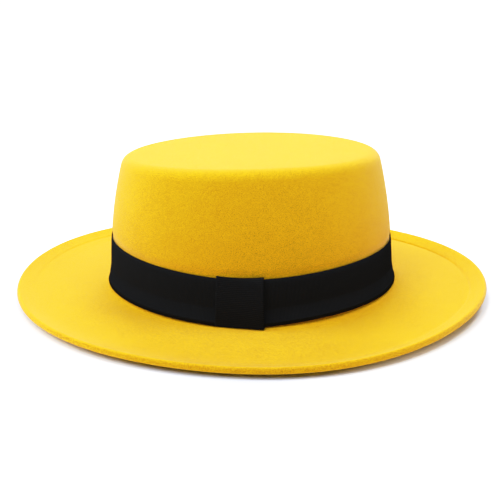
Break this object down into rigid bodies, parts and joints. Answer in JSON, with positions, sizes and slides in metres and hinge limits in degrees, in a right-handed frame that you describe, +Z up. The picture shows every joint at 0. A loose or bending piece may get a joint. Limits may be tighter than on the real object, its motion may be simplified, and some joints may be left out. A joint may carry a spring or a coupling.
{
  "type": "fedora hat",
  "caption": "Felt hat with a flat oval crown, a wide brim turned up into a narrow lip, a dark ribbon band around the crown and a flat ribbon keeper on the left side.",
  "frame": {"origin": "on the table under the middle of the hat's bounding box", "axes": "+Z up out of the crown's top; +X towards the back of the head, so the hat's front is at -X; +Y towards the wearer's right, so the keeper is at -Y"},
  "size_m": [0.3362, 0.292, 0.1006],
  "materials": {
    "felt": "matte wool felt, warm yellow, with a short even nap",
    "band_ribbon": "near-black grosgrain ribbon with fine upright ribs",
    "keeper_ribbon": "near-black grosgrain ribbon with fine level ribs"
  },
  "bodies": {
    "root": {"felt_body": "felt", "ribbon_band": "band_ribbon", "ribbon_keeper": "keeper_ribbon"}
  },
  "joints": []
}
